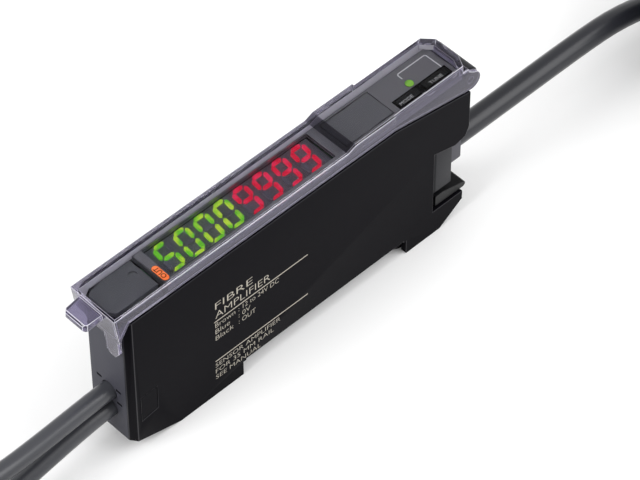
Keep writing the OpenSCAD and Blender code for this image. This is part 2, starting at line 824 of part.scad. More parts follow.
module rail_lock() {
    color("#0e0e10") placed() {
        across(-lock_y, lock_y) polygon([
            [leg_x - nose_l - 0.2, 1.9], [leg_x - nose_l - 0.2, 1.6], [leg_x - 0.5, 0.2],
            [leg_x + leg_l, 0.2], [leg_x + leg_l, bar_z], [slot_x + 1, bar_z], [slot_x + 1, leg_top],
            [leg_x, leg_top], [leg_x, 1.9]
        ]);
        // Pull tongue
        across(-tongue_y, tongue_y) {
            polygon([
                [slot_x + 0.95, bar_z], [tongue_end - 0.6, bar_z - 0.2], [tongue_end - 0.6, bar_z + 1],
                [slot_x + 2.6, bar_z + tongue_h], [slot_x + 0.95, bar_z + tongue_h]
            ]);
            translate([tongue_end - 0.6, bar_z + 0.4]) circle(0.6);
        }
        // Spigot for the spring
        bar_x(0, spring_z, 0.6, leg_x + leg_l - eps, leg_x + leg_l + 1);
    }
}

module lock_spring() {
    x0 = leg_x + leg_l;
    turns = 4;
    pitch = (spring_end - x0 - 2 * spring_wire_r) / (turns - 1);
    color("#c0c2c6") placed()
        for (i = [0 : turns - 1])
            translate([x0 + spring_wire_r + i * pitch, 0, spring_z]) rotate([0, 90, 0])
                rotate_extrude() translate([spring_r - spring_wire_r, 0]) circle(spring_wire_r, $fn = 16);
}

// Power lead

module power_cable() {
    color("#26272b") {
        tube(cable_route, cable_r, 10);
        tube(cable_tail, cable_r, 10);
    }
}

module cable_hank() {
    color("#26272b") translate([cable_hank_x, cable_hank_y, tie_t])
        linear_extrude(cable_layers * cable_d) round_ended(cable_hank_l, cable_hank_w);
}

module band(x, y, w, h) {
    difference() {
        box([x - tie_w / 2, y - w / 2 - tie_t, 0], [x + tie_w / 2, y + w / 2 + tie_t, h + 2 * tie_t]);
        box([x - tie_w, y - w / 2, tie_t], [x + tie_w, y + w / 2, h + tie_t]);
    }
}

module cable_tie() {
    color("#101012") band(cable_tie_x, cable_hank_y, cable_hank_w, cable_layers * cable_d);
}

function wire_route(i) =
    let (a = cable_tail[len(cable_tail) - 1], y0 = a[1] + (i - 1) * 1.2, e = wire_ends[i])
    [[a[0], y0, a[2]], [a[0] + 2.5, y0, a[2]], [a[0] + 6, (y0 + e[1]) / 2, 25.6], [e[0] - 3, e[1], 25.1],
     [e[0], e[1], 25.1]];

module wire_brown() {
    color("#5b3520") tube(wire_route(0), wire_r);
}

module wire_blue() {
    color("#2350a0") tube(wire_route(1), wire_r);
}

module wire_black() {
    color("#18181a") tube(wire_route(2), wire_r);
}

module wire_tips() {
    color("#c9b28a")
        for (e = wire_ends)
            bar_x(e[1], 25.1, 0.35, e[0], e[0] + wire_strip);
}

// Fibre leads

module fibre_upper() {
    color("#6e7073") {
        tube(fibre_upper_route, fibre_r);
        tube(fibre_upper_tail, fibre_r);
    }
}

module fibre_lower() {
    color("#6e7073") {
        tube(fibre_lower_route, fibre_r);
        tube(fibre_lower_tail, fibre_r);
    }
}

module fibre_hank(level) {
    translate([fibre_hank_x - fibre_hank_l, fibre_hank_y, tie_t + level * fibre_layers * fibre_d])
        linear_extrude(fibre_layers * fibre_d) round_ended(fibre_hank_l, fibre_hank_w);
}

module fibre_hank_upper() {
    color("#6e7073") fibre_hank(1);
}

module fibre_hank_lower() {
    color("#6e7073") fibre_hank(0);
}

module fibre_tie() {
    color("#101012") band(fibre_tie_x, fibre_hank_y, fibre_hank_w, 2 * fibre_layers * fibre_d);
}

// Threaded sensing head on the end of a fibre
module fibre_head(p) {
    bar_x(p[1], p[2], head_r, p[0], p[0] + head_l);
    bar_x(p[1], p[2], head_r - 0.5, p[0] + head_l - eps, p[0] + head_l + 1.5);
}

module fibre_head_upper() {
    color("#b4b6ba") fibre_head(fibre_upper_tail[len(fibre_upper_tail) - 1]);
}

module fibre_head_lower() {
    color("#b4b6ba") fibre_head(fibre_lower_tail[len(fibre_lower_tail) - 1]);
}

case_body();
side_cover();
operation_panel();
display_window();
display_block();
green_segments();
red_segments();
dark_segments();
output_lamp();
status_lamp();
up_down_key();
mode_key();
tune_key();
lock_lever();
lever_pin();
protective_cover();
panel_board();
key_switches();
board_header();
main_board();
board_chips();
fibre_holder();
fibre_gate();
light_emitter();
light_receiver();
cable_bush();
inner_leads();
rail_lock();
lock_spring();
power_cable();
cable_hank();
cable_tie();
wire_brown();
wire_blue();
wire_black();
wire_tips();
fibre_upper();
fibre_lower();
fibre_hank_upper();
fibre_hank_lower();
fibre_tie();
fibre_head_upper();
fibre_head_lower();
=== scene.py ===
# %% [markdown]
# # A slim fibre optic sensor amplifier
# The object is a black rail-mounted sensor amplifier with a smoked hinged cover, a lit display, two grey fibre
# leads at the front and a power lead at the rear. The solids come from CAD and are loaded as a fixed frame. This
# lesson dresses them: it sets the camera, gives every surface its finish, prints the legends, lays the leads and
# softens the moulded edges. Sizes are written in millimetres and turned to Blender's metres where they are used.

# %% Load the frame
import bpy
import math
from mathutils import Matrix, Vector


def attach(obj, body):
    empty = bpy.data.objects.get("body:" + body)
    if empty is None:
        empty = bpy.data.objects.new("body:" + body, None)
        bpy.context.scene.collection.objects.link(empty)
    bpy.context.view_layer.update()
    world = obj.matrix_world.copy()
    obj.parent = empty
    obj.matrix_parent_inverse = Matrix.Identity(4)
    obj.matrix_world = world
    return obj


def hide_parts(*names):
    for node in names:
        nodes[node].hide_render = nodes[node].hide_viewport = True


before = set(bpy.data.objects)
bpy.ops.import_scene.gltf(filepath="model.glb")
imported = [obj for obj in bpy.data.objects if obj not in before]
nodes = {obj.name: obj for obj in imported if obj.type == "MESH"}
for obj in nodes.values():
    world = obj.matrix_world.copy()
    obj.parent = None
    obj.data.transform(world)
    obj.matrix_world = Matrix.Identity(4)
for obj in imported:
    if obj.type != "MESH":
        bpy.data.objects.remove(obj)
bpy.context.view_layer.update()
MM = 0.001
FRONT_X = -34.35  # the case's front face, in mm along x
print("CAD nodes:", len(nodes))

# %% [markdown]
# ## Camera
# The photograph looks down on the amplifier's top and one long side through a long lens, so that parallel edges
# stay almost parallel. A camera can be set by eye. Here azimuth, elevation, focal length and place were fitted to the
# edges of the case instead, so that each piece lands where the photograph shows it. The sensor is 36 mm wide, so the
# lens is the fitted focal length in pixels times 36 over 640.

# %% Camera
AZIMUTH, ELEVATION = -43.95, 49.41  # degrees
SENSOR_MM, LENS_MM = 36, 199.7
CAMERA_MM = (-240.64, -259.59, 431.44)
NEAR_M, FAR_M = 0.01, 10
camera_data = bpy.data.cameras.new("photo_camera")
camera_data.sensor_width, camera_data.lens = SENSOR_MM, LENS_MM
camera_data.clip_start, camera_data.clip_end = NEAR_M, FAR_M
camera = bpy.data.objects.new("photo_camera", camera_data)
camera.location = Vector(CAMERA_MM) * MM
camera.rotation_euler = (math.radians(90 - ELEVATION), 0, math.radians(AZIMUTH))
scene = bpy.context.scene
scene.collection.objects.link(camera)
scene.camera = camera
scene.view_settings.view_transform = "Standard"
print("camera", round(camera.location.length / MM), "mm from the origin, lens", LENS_MM, "mm")

# %% [markdown]
# ## Helpers for meshes and materials
# Colours are written as sRGB hex, as one reads them off a colour chart, and one function turns them to the linear
# values that the shader wants. Another adds a node with its settings and links, for shaders and for Geometry Nodes
# alike. A mesh helper turns vertices and faces into an object at the origin, with its place in its mesh.

# %% Helpers
def linear(hex_colour):
    """Linear RGBA of an sRGB hex colour."""
    channels = [int(hex_colour[i:i + 2], 16) / 255 for i in (1, 3, 5)]
    return [c / 12.92 if c <= 0.04045 else ((c + 0.055) / 1.055) ** 2.4 for c in channels] + [1.0]


def add_node(tree, kind, links=None, **settings):
    """Adds a node, sets its properties and inputs, and links inputs to other nodes' outputs."""
    node = tree.nodes.new(kind)
    for key, value in settings.items():
        if hasattr(node, key):
            setattr(node, key, value)
        else:
            node.inputs[key.replace("_", " ")].default_value = value
    for socket, source in (links or {}).items():
        tree.links.new(source, node.inputs[socket])
    return node


def new_material(name, colour, roughness, **sockets):
    """A Principled material. Returns it with its tree and shader, for the patterns that each finish adds."""
    material = bpy.data.materials.new(name)
    material.use_nodes = True
    shader = material.node_tree.nodes["Principled BSDF"]
    shader.inputs["Base Color"].default_value = linear(colour)
    shader.inputs["Roughness"].default_value = roughness
    for socket, value in sockets.items():
        shader.inputs[socket.replace("_", " ")].default_value = value
    return material, material.node_tree, shader


def mesh_object(name, verts, faces, material):
    """A plain mesh with flat faces, as an object at the origin."""
    mesh = bpy.data.meshes.new(name)
    mesh.from_pydata([tuple(v) for v in verts], [], faces)
    mesh.materials.append(material)
    piece = bpy.data.objects.new(name, mesh)
    scene.collection.objects.link(piece)
    return piece


print("sRGB #808080 is", round(linear("#808080")[0], 3), "in linear light")

# %% [markdown]
# ## Moulded plastics
# The case is black ABS from a spark-eroded mould, which leaves a fine dull grain. The panel, lever and rocker are a
# lighter satin grey. A grain could be cut into the mesh, but a bump is enough for something so fine. The real grain
# of about 0.3 mm is too fine to show at this distance, so it is drawn a little coarser. A second, larger noise
# makes the gloss a little uneven, as it is on a real moulding.

# %% Plastic finishes
SKIN_MM = 0.05  # height of the grain or waves of a moulded skin
CLOUD_MM, CLOUD_GLOSS = 9, 0.05  # size of the duller patches, and how far their roughness strays


def grained_plastic(name, colour, roughness, grain_mm, depth, **sockets):
    """Moulded plastic with a fine eroded grain and slightly uneven gloss."""
    material, tree, shader = new_material(name, colour, roughness, **sockets)
    place = add_node(tree, "ShaderNodeTexCoord")
    grain = add_node(tree, "ShaderNodeTexNoise", {"Vector": place.outputs["Object"]},
                     Scale=1 / (grain_mm * MM), Detail=3.0)
    bump = add_node(tree, "ShaderNodeBump", {"Height": grain.outputs["Fac"]}, Strength=depth, Distance=SKIN_MM * MM)
    tree.links.new(bump.outputs["Normal"], shader.inputs["Normal"])
    cloud = add_node(tree, "ShaderNodeTexNoise", {"Vector": place.outputs["Object"]},
                     Scale=1 / (CLOUD_MM * MM), Detail=2.0)
    gloss = add_node(tree, "ShaderNodeMapRange", {"Value": cloud.outputs["Fac"]},
                     To_Min=roughness - CLOUD_GLOSS, To_Max=roughness + CLOUD_GLOSS)
    tree.links.new(gloss.outputs["Result"], shader.inputs["Roughness"])
    return material


# Dull black: the grain spreads the light, so the case's form stays readable.
case_abs = grained_plastic("black_abs_spark_eroded", "#1d1d21", 0.5, 0.45, 0.3, Specular_IOR_Level=0.25)
# The case's front: a coarser grain, and a dark grey that is painted light, lighter than the black case where the light
# falls.
front_abs_painted_light = grained_plastic("black_abs_coarse_front_painted_light", "#3a3a42", 0.6, 0.6, 0.3, Specular_IOR_Level=0.25)
# The side plate reflects least: a deep black that carries the print. Its deeper black is painted shade, which the
# case's near side shares.
side_abs_painted_shade = grained_plastic("black_abs_side_plate_painted_shade", "#0c0b0f", 0.35, 0.45, 0.15, Specular_IOR_Level=0.02)
# The plate's rounded rim has more shine and a lighter black, a painted highlight that draws a thin grey line.
edge_abs_painted_highlight = grained_plastic("black_abs_rounded_edge_painted_highlight", "#1c1b20", 0.35, 0.45, 0.1, Specular_IOR_Level=0.2)
# Soft satin greys: darker round the display, lighter round the keys, and each moving piece a shade of its own.
# The lighter grey round the keys is painted light.
panel_abs = grained_plastic("grey_abs_satin_panel", "#44454a", 0.55, 0.4, 0.12, Specular_IOR_Level=0.3)
panel_painted_light = grained_plastic("grey_abs_key_panel_painted_light", "#6f6e74", 0.55, 0.4, 0.12, Specular_IOR_Level=0.3)
rocker_abs = grained_plastic("grey_abs_rocker", "#65656b", 0.6, 0.4, 0.12, Specular_IOR_Level=0.2)
lever_abs = grained_plastic("grey_abs_lever", "#595a5f", 0.5, 0.4, 0.12, Specular_IOR_Level=0.3)
# Black keys with a faint sheen, in a near-black surround that is painted shade of the trench they sit in.
key_abs = grained_plastic("black_abs_key", "#0e0e10", 0.45, 0.4, 0.12, Specular_IOR_Level=0.2)
trench_painted_shade = grained_plastic("black_key_surround_painted_shade", "#060607", 0.6, 0.4, 0.1, Specular_IOR_Level=0.1)
# Acetal slides well and has a smooth, slightly waxy skin.
lock_acetal = grained_plastic("black_acetal_lock", "#0d0d0f", 0.4, 0.5, 0.1, Specular_IOR_Level=0.2)
# Matt grey rubber with a visible grain.
bush_rubber = grained_plastic("grey_moulded_rubber", "#4a494f", 0.6, 0.5, 0.3, Specular_IOR_Level=0.3)
# Plain dark grey for the block that holds the fibres.
inner_plastic = grained_plastic("dark_moulded_inner_plastic", "#2b2b2e", 0.5, 0.5, 0.2)
print("materials so far:", len(bpy.data.materials))

# %% [markdown]
# ## Smoked polycarbonate
# The cover is one moulding of lavender-smoked polycarbonate. Its top is polished, so that the display can be read
# through it. Its skirts, front, tab and ears come from a duller part of the mould and look milky. Its rounded edges
# and the far wall's inner side are painted paler, as painted highlights. One glass for all of it would be simpler,
# but then the walls would be as clear as the top. The index of refraction of the clear parts is kept below the real
# one, so that the thin plate hardly shifts what lies under it. The skin waves a little, and what lies behind it
# ripples.

# %% Clear finishes
def smoked_plastic(name, colour, roughness, wave_mm, depth, **sockets):
    """Clear plastic whose moulded skin waves a little, so that what lies behind it ripples."""
    material, tree, shader = new_material(name, colour, roughness, **sockets)
    place = add_node(tree, "ShaderNodeTexCoord")
    wave = add_node(tree, "ShaderNodeTexNoise", {"Vector": place.outputs["Object"]},
                    Scale=1 / (wave_mm * MM), Detail=1.0)
    bump = add_node(tree, "ShaderNodeBump", {"Height": wave.outputs["Fac"]}, Strength=depth, Distance=SKIN_MM * MM)
    tree.links.new(bump.outputs["Normal"], shader.inputs["Normal"])
    return material


# The polished top: almost clear, with a faint grey tint.
cover_clear = smoked_plastic("smoked_polycarbonate_polished", "#e0e0e3", 0.03, 5, 0.05,
                             Transmission_Weight=1.0, IOR=1.15)
# Skirts, tab and ears: milky lavender, with a fine ripple.
cover_frost = smoked_plastic("smoked_polycarbonate_dull", "#857f9b", 0.08, 0.6, 0.1,
                             Transmission_Weight=0.86, IOR=1.4)
# The front plate: the same lavender, clearer.
cover_front = smoked_plastic("smoked_polycarbonate_front", "#8d86a3", 0.05, 2, 0.1,
                             Transmission_Weight=0.92, IOR=1.4)
# The far wall's inner side: near-white and nearly opaque, a painted highlight that shows as a pale band behind the
# panel.
cover_wall_painted_highlight = smoked_plastic("smoked_polycarbonate_far_wall_painted_highlight", "#f0eef5", 0.2, 2, 0.1,
                            Transmission_Weight=0.15, IOR=1.35)
# Rounded edges: pale and less clear, painted highlights that draw pale lines.
cover_edge_painted_highlight = smoked_plastic("smoked_polycarbonate_edge_painted_highlight", "#e2e0ea", 0.15, 1, 0.05,
                            Transmission_Weight=0.4, IOR=1.45)
# The hood over the keys is as clear as the top, and the slope that leads up to it is darker.
cover_hood = smoked_plastic("smoked_polycarbonate_hood", "#dededf", 0.02, 5, 0.05,
                            Transmission_Weight=1.0, IOR=1.12)
cover_slope = smoked_plastic("smoked_polycarbonate_slope", "#77757f", 0.08, 2, 0.05,
                             Transmission_Weight=1.0, IOR=1.2)
# The display's window: acrylic, clear and smooth, a little grey.
window_acrylic = smoked_plastic("smoked_acrylic_window", "#c4c5cc", 0.05, 4, 0.03,
                                Transmission_Weight=1.0, IOR=1.1)
print("materials so far:", len(bpy.data.materials))

# %% [markdown]
# ## Lit pieces
# Digits and lamps shine through diffusers. They get their own colour plus emission of the same colour, weak enough
# that the colour stays as written instead of burning out to white. The chips behind a diffuser make brighter spots.
# Small lamps under each segment would be truer but slow, so a soft noise of 1.5 mm mixes the colour of the rim with
# that of the spots.

# %% Lit finishes
SPOT_MM = 1.5
RIM_STOP, SPOT_STOP = 0.42, 0.68  # the noise is all rim below the first, all spot above the second
DIFFUSER_ROUGHNESS = 0.35


def lit(name, rim, spot, strength):
    """A diffuser that is lit from behind, with brighter spots."""
    material, tree, shader = new_material(name, rim, DIFFUSER_ROUGHNESS)
    place = add_node(tree, "ShaderNodeTexCoord")
    spots = add_node(tree, "ShaderNodeTexNoise", {"Vector": place.outputs["Object"]},
                     Scale=1 / (SPOT_MM * MM), Detail=0.0)
    tint = add_node(tree, "ShaderNodeValToRGB", {"Fac": spots.outputs["Fac"]})
    for stop, position, colour in zip(tint.color_ramp.elements, (RIM_STOP, SPOT_STOP), (rim, spot)):
        stop.position = position
        stop.color = linear(colour)
    for socket in ("Base Color", "Emission Color"):
        tree.links.new(tint.outputs["Color"], shader.inputs[socket])
    shader.inputs["Emission Strength"].default_value = strength
    return material


# Segments that glow green and red, with yellower and pinker spots.
green_led = lit("green_led_diffuser", "#74d62c", "#cdf040", 1.15)
red_led = lit("red_led_diffuser", "#e21038", "#f63058", 1.3)
# Lamps that glow more weakly, behind a coloured light pipe whose sides are masked black.
amber_pipe = lit("amber_light_pipe", "#ee7030", "#f88040", 0.6)
green_pipe = lit("green_light_pipe", "#488424", "#7cb83a", 0.3)
pipe_side = grained_plastic("masked_light_pipe_side", "#16100d", 0.6, 0.4, 0.1)
# Unlit segments stand out faintly from the display's grey face. Both greys are painted light, lighter than their own
# colour, for the light that the window and the cover keep from them.
unlit_led_painted_light = grained_plastic("unlit_led_diffuser_painted_light", "#a3a1ab", 0.4, 0.5, 0.05)
display_face_painted_light = grained_plastic("grey_display_face_painted_light", "#9b9aa0", 0.5, 0.4, 0.1, Specular_IOR_Level=0.2)
print("materials so far:", len(bpy.data.materials))

# %% [markdown]
# ## Metals, boards and jackets
# The hidden pieces get honest finishes too, because the cover opens and the parts can be taken apart. Drawn wire and
# turned brass carry fine streaks. A stretched noise in the roughness shows them without a bump. The leads are
# jacketed in smooth plastic that takes a long highlight.

# %% Other finishes
STREAK_MM, STREAK_GLOSS = 0.4, 0.08  # width of a streak, and how far its roughness strays
STREAK_STRETCH = (0.1, 1, 1)  # ten times as long along x


def brushed_metal(name, colour, roughness):
    """Metal with fine streaks along x."""
    material, tree, shader = new_material(name, colour, roughness, Metallic=1.0)
    place = add_node(tree, "ShaderNodeTexCoord")
    streak = add_node(tree, "ShaderNodeMapping", {"Vector": place.outputs["Object"]}, Scale=STREAK_STRETCH)
    noise = add_node(tree, "ShaderNodeTexNoise", {"Vector": streak.outputs["Vector"]},
                     Scale=1 / (STREAK_MM * MM), Detail=2.0)
    gloss = add_node(tree, "ShaderNodeMapRange", {"Value": noise.outputs["Fac"]},
                     To_Min=roughness - STREAK_GLOSS, To_Max=roughness + STREAK_GLOSS)
    tree.links.new(gloss.outputs["Result"], shader.inputs["Roughness"])
    return material


# Bright metals: cool grey steel, warmer nickel on brass, and coppery strands under tin.
spring_steel = brushed_metal("spring_steel", "#c3c5c9", 0.3)
nickel_brass = brushed_metal("nickel_plated_brass", "#c9c6bd", 0.25)
tinned_copper = brushed_metal("tinned_copper_strands", "#cbb79a", 0.35)
# Glossy green lacquer on the boards, and dull black mouldings on them.
solder_mask = grained_plastic("green_solder_mask", "#1f5a3a", 0.35, 0.6, 0.1)
epoxy_chip = grained_plastic("black_epoxy_moulding", "#1a1a1c", 0.5, 0.4, 0.2)
# Cast epoxy is smooth and shiny: red on the emitter, dark blue on the receiver.
emitter_epoxy = grained_plastic("clear_red_epoxy", "#5a2a2a", 0.2, 0.6, 0.05)
receiver_epoxy = grained_plastic("dark_blue_epoxy", "#23304a", 0.2, 0.6, 0.05)
# Dark jackets with a long soft highlight, a little lighter on the fibres.
cable_pvc = grained_plastic("dark_grey_pvc_jacket", "#1d1e24", 0.33, 0.5, 0.2, Specular_IOR_Level=0.43)
fibre_pe = grained_plastic("grey_polyethylene_jacket", "#38393e", 0.31, 0.5, 0.08, Specular_IOR_Level=0.55)
tie_pvc = grained_plastic("black_pvc_tie", "#111113", 0.4, 0.5, 0.15)
# Wire insulation in the usual colours, satin.
brown_pvc = grained_plastic("brown_pvc_insulation", "#5b3520", 0.4, 0.4, 0.1)
blue_pvc = grained_plastic("blue_pvc_insulation", "#2350a0", 0.4, 0.4, 0.1)
black_pvc = grained_plastic("black_pvc_insulation", "#18181a", 0.4, 0.4, 0.1)
print("materials so far:", len(bpy.data.materials))

# %% [markdown]
# ## Dress the CAD nodes
# A node's mesh stays as CAD made it and only gets a material. A dictionary from node to finish is easier to read and
# to change than one call for each.

# %% Dress the nodes
FINISH = {
    "case_body": case_abs, "side_cover": side_abs_painted_shade, "operation_panel": panel_abs, "display_window": window_acrylic,
    "display_block": display_face_painted_light, "green_segments": green_led, "red_segments": red_led, "dark_segments": unlit_led_painted_light,
    "output_lamp": amber_pipe, "status_lamp": green_pipe, "up_down_key": rocker_abs, "mode_key": key_abs,
    "tune_key": key_abs, "lock_lever": lever_abs, "lever_pin": spring_steel, "protective_cover": cover_clear,
    "panel_board": solder_mask, "key_switches": epoxy_chip, "board_header": epoxy_chip, "main_board": solder_mask,
    "board_chips": epoxy_chip, "fibre_holder": inner_plastic, "fibre_gate": spring_steel,
    "light_emitter": emitter_epoxy, "light_receiver": receiver_epoxy, "cable_bush": bush_rubber,
    "inner_leads": brown_pvc, "rail_lock": lock_acetal, "lock_spring": spring_steel, "wire_brown": brown_pvc,
    "wire_blue": blue_pvc, "wire_black": black_pvc, "wire_tips": tinned_copper,
    "cable_tie": tie_pvc, "fibre_tie": tie_pvc,
}
for name, material in FINISH.items():
    mesh = nodes[name].data
    mesh.materials.clear()
    mesh.materials.append(material)
print("dressed nodes:", len(FINISH))

# %% [markdown]
# ## Second finishes
# One moulding can show several finishes: the cover is polished on top and milky on its skirts. The faces could be
# picked by hand. Here a rule picks them, by where a face's middle lies and which way it looks, so that it still
# holds when the CAD model is built again. A later rule overrides an earlier one.

# %% Finishes of the cover
def second_finish(name, material, chosen):
    """Gives the faces for which chosen(centre_mm, normal) is true another finish. x counts from the case's front."""
    mesh = nodes[name].data
    mesh.materials.append(material)
    count = 0
    for polygon in mesh.polygons:
        centre = nodes[name].matrix_world @ polygon.center / MM
        centre.x -= FRONT_X
        if chosen(centre, polygon.normal):
            polygon.material_index = len(mesh.materials) - 1
            count += 1
    print(name, "faces of", material.name + ":", count)


FACING, LEVEL = 0.6, 0.97  # share of a normal along an axis, for a face that looks that way or lies level
TAB_X, SKIRT_Z = -2.05, 32.2  # the thumb tab lies before this, and the skirts lie below this
WALL_Y, PLATE_X = 2.5, 2  # the side walls lie further out than this, and the front plate lies before this
HOOD_X, HOOD_Z = 47, 32.5  # the hood starts here, and its top lies above this
SLOPE_X0, SLOPE_X1 = 45, 47.6  # the slope up to the hood lies between these
second_finish("protective_cover", cover_frost, lambda c, n: abs(n.z) < FACING or c.x < TAB_X or c.z < SKIRT_Z)
# The far wall's inner side gets its painted highlight.
second_finish("protective_cover", cover_wall_painted_highlight, lambda c, n: n.y < -FACING and c.y > WALL_Y)
second_finish("protective_cover", cover_front, lambda c, n: abs(n.x) > FACING and c.x < PLATE_X)
second_finish("protective_cover", cover_hood, lambda c, n: c.x > HOOD_X and (
    abs(n.z) > LEVEL and c.z > HOOD_Z or n.y > FACING and c.y < -WALL_Y))
second_finish("protective_cover", cover_slope, lambda c, n: FACING < abs(n.z) < LEVEL and SLOPE_X0 < c.x < SLOPE_X1)

# %% [markdown]
# The panel is lighter round the keys, which is painted light, and black in the trench that they sit in, which is
# painted shade. The walls of the display's opening are grey like the display: painted light where shade would fall.
# The case's near side is painted shade, a deeper black, and its front painted light, a lighter grey, each with its own
# grain. Both lamps are masked on their sides, so that they only shine upwards. The edges of the cover and of the side
# plate get painted highlights of their own, which the soft edges further down put on their rounds.

# %% Finishes of the panel, the case and the lamps
UPRIGHT, FRONT_FACING = 0.5, 0.7  # shares of a normal, for an upright face and for the case's front
KEY_PANEL_X = 45  # the panel round the keys starts here
TRENCH_X0, TRENCH_X1, TRENCH_Y0, TRENCH_Y1, TRENCH_Z = 58.2, 69.8, -3, -0.8, 31.95
WINDOW_X0, WINDOW_X1, WINDOW_Y = 10.8, 46, 3.9  # the display's opening
NEAR_SIDE_Y, FRONT_END_X = -4.9, 0.1  # the case's near side lies beyond the first, its front before the second
second_finish("operation_panel", panel_painted_light, lambda c, n: c.x > KEY_PANEL_X and n.z > UPRIGHT)
second_finish("operation_panel", trench_painted_shade, lambda c, n: (
    TRENCH_X0 < c.x < TRENCH_X1 and TRENCH_Y0 < c.y < TRENCH_Y1 and c.z < TRENCH_Z))
second_finish("operation_panel", display_face_painted_light, lambda c, n: (
    abs(n.z) < UPRIGHT and WINDOW_X0 < c.x < WINDOW_X1 and abs(c.y) < WINDOW_Y))
second_finish("case_body", side_abs_painted_shade, lambda c, n: c.y < NEAR_SIDE_Y)
second_finish("case_body", front_abs_painted_light, lambda c, n: n.x < -FRONT_FACING and c.x < FRONT_END_X)
for name in ("output_lamp", "status_lamp"):
    second_finish(name, pipe_side, lambda c, n: abs(n.z) < UPRIGHT)
EDGE_PAINTED_HIGHLIGHT = {"protective_cover": cover_edge_painted_highlight, "side_cover": edge_abs_painted_highlight}
for name, material in EDGE_PAINTED_HIGHLIGHT.items():
    nodes[name].data.materials.append(material)

# %% [markdown]
# ## Print and legends
# Legends are printed with a pad: a film of ink a few hundredths of a millimetre thick. An image texture could carry
# them, but letters as meshes stay sharp at any distance. Each line of text is a Blender text object turned into a
# mesh, scaled to its capital height and width, and laid just above the surface. The words are plain ones, for wiring
# and for the keys. The two legends on the keys ride on their keys.

# %% Ink and letters
THIN, BOLD = -0.012, 0.012  # how far a stroke's outline moves, as a share of the letters' size
# Dull inks with a trace of grain: beige on the side, white on the panel, dark brown on the orange lamp.
beige_ink = grained_plastic("beige_pad_print_ink", "#a8a296", 0.6, 0.3, 0.1)
white_ink = grained_plastic("white_pad_print_ink", "#d6d6da", 0.6, 0.3, 0.1)
brown_ink = grained_plastic("dark_brown_pad_print_ink", "#1c0802", 0.7, 0.3, 0.1, Specular_IOR_Level=0.1)


def text_mesh(text, weight):
    """Vertices (x, y) and faces of a line of text. weight thickens or thins the strokes, as a share of the size."""
    curve = bpy.data.curves.new("line", "FONT")
    curve.body = text
    curve.resolution_u = 3
    curve.offset = weight
    line = bpy.data.objects.new("line", curve)
    scene.collection.objects.link(line)
    mesh = bpy.data.meshes.new_from_object(line.evaluated_get(bpy.context.evaluated_depsgraph_get()))
    verts = [(v.co.x, v.co.y) for v in mesh.vertices]
    faces = [list(polygon.vertices) for polygon in mesh.polygons]
    bpy.data.objects.remove(line)
    bpy.data.meshes.remove(mesh)
    return verts, faces


def printed(name, lines, along, up, material, weight=THIN, body="amplifier"):
    """Lines of text as one piece. Each line is (text, place_mm, capital height, width), x from the case's front."""
    verts, faces = [], []
    for text, place, height, width in lines:
        line_verts, line_faces = text_mesh(text, weight)
        x0 = min(x for x, _ in line_verts)
        kx = width / (max(x for x, _ in line_verts) - x0)
        ky = height / max(y for _, y in line_verts)
        start = Vector(place) + Vector((FRONT_X, 0, 0))
        faces += [[i + len(verts) for i in face] for face in line_faces]
        verts += [(start + Vector(along) * (x - x0) * kx + Vector(up) * y * ky) * MM for x, y in line_verts]
    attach(mesh_object(name, verts, faces, material), body)
    print(name, "lines:", len(lines), "faces:", len(faces))


print("inks:", beige_ink.name, white_ink.name, brown_ink.name)

# %% [markdown]
# The side carries a heading, the wiring and a block of small print. Each line has its place, its capital height and
# its width, in millimetres.

# %% Legends
RIGHT, LEFT, AWAY, UP = (1, 0, 0), (-1, 0, 0), (0, 1, 0), (0, 0, 1)
SIDE_Y, PANEL_Z, KEY_Z, LAMP_Z = -5.02, 32.02, 32.12, 32.07  # just off the side, the panel, the keys and the lamp
SIDE_LINES = [
    ("FIBRE", (17.3, SIDE_Y, 20.25), 1.5, 7.7), ("AMPLIFIER", (17.3, SIDE_Y, 18.1), 1.5, 11.3),
    ("Brown", (17.2, SIDE_Y, 16), 1.05, 4.1), ("Blue", (17.2, SIDE_Y, 14.5), 1.05, 3),
    ("Black", (17.2, SIDE_Y, 13), 1.05, 3.7), (": 12 to 24V DC", (22, SIDE_Y, 16), 1.05, 8.4),
    (": 0V", (22, SIDE_Y, 14.5), 1.05, 2.4), (": OUT", (22, SIDE_Y, 13), 1.05, 3.5),
    ("SENSOR AMPLIFIER", (17, SIDE_Y, 6.6), 0.95, 13.6), ("FOR 35 MM RAIL", (17, SIDE_Y, 5.2), 0.95, 12.2),
    ("SEE MANUAL", (17, SIDE_Y, 3.8), 0.95, 9.4),
]
MODE_LINES = [("MODE", (58.9, -2.5, KEY_Z), 0.6, 2.7)]
TUNE_LINES = [("TUNE", (65.3, -2.5, KEY_Z), 0.6, 2.7)]
OUTPUT_LINES = [("OUT", (10.25, -2.75, LAMP_Z), 0.85, 2.4)]
printed("side_print", SIDE_LINES, RIGHT, UP, beige_ink)
printed("mode_legend", MODE_LINES, RIGHT, AWAY, white_ink, body="mode")
printed("tune_legend", TUNE_LINES, RIGHT, AWAY, white_ink, body="tune")
printed("output_legend", OUTPUT_LINES, AWAY, LEFT, brown_ink, BOLD)

# %% [markdown]
# Two thin rules divide the print on the side. A rule is one flat four-cornered face, which is all that a printed
# line is.

# %% Rules on the side
RULE_MM, RULE_X0, RULE_X1 = 0.22, 17, 36.5
RULE_Z = (17.45, 8.1)


def rule(start, end, width, across):
    """Corners of a straight printed rule."""
    a, b, w = Vector(start), Vector(end), Vector(across) * width / 2
    return [(corner + Vector((FRONT_X, 0, 0))) * MM for corner in (a - w, b - w, b + w, a + w)]


def rules(name, corners, material):
    """Printed rules as one piece."""
    verts = [corner for four in corners for corner in four]
    faces = [[4 * i, 4 * i + 1, 4 * i + 2, 4 * i + 3] for i in range(len(corners))]
    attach(mesh_object(name, verts, faces, material), "amplifier")
    print(name, "rules:", len(corners))


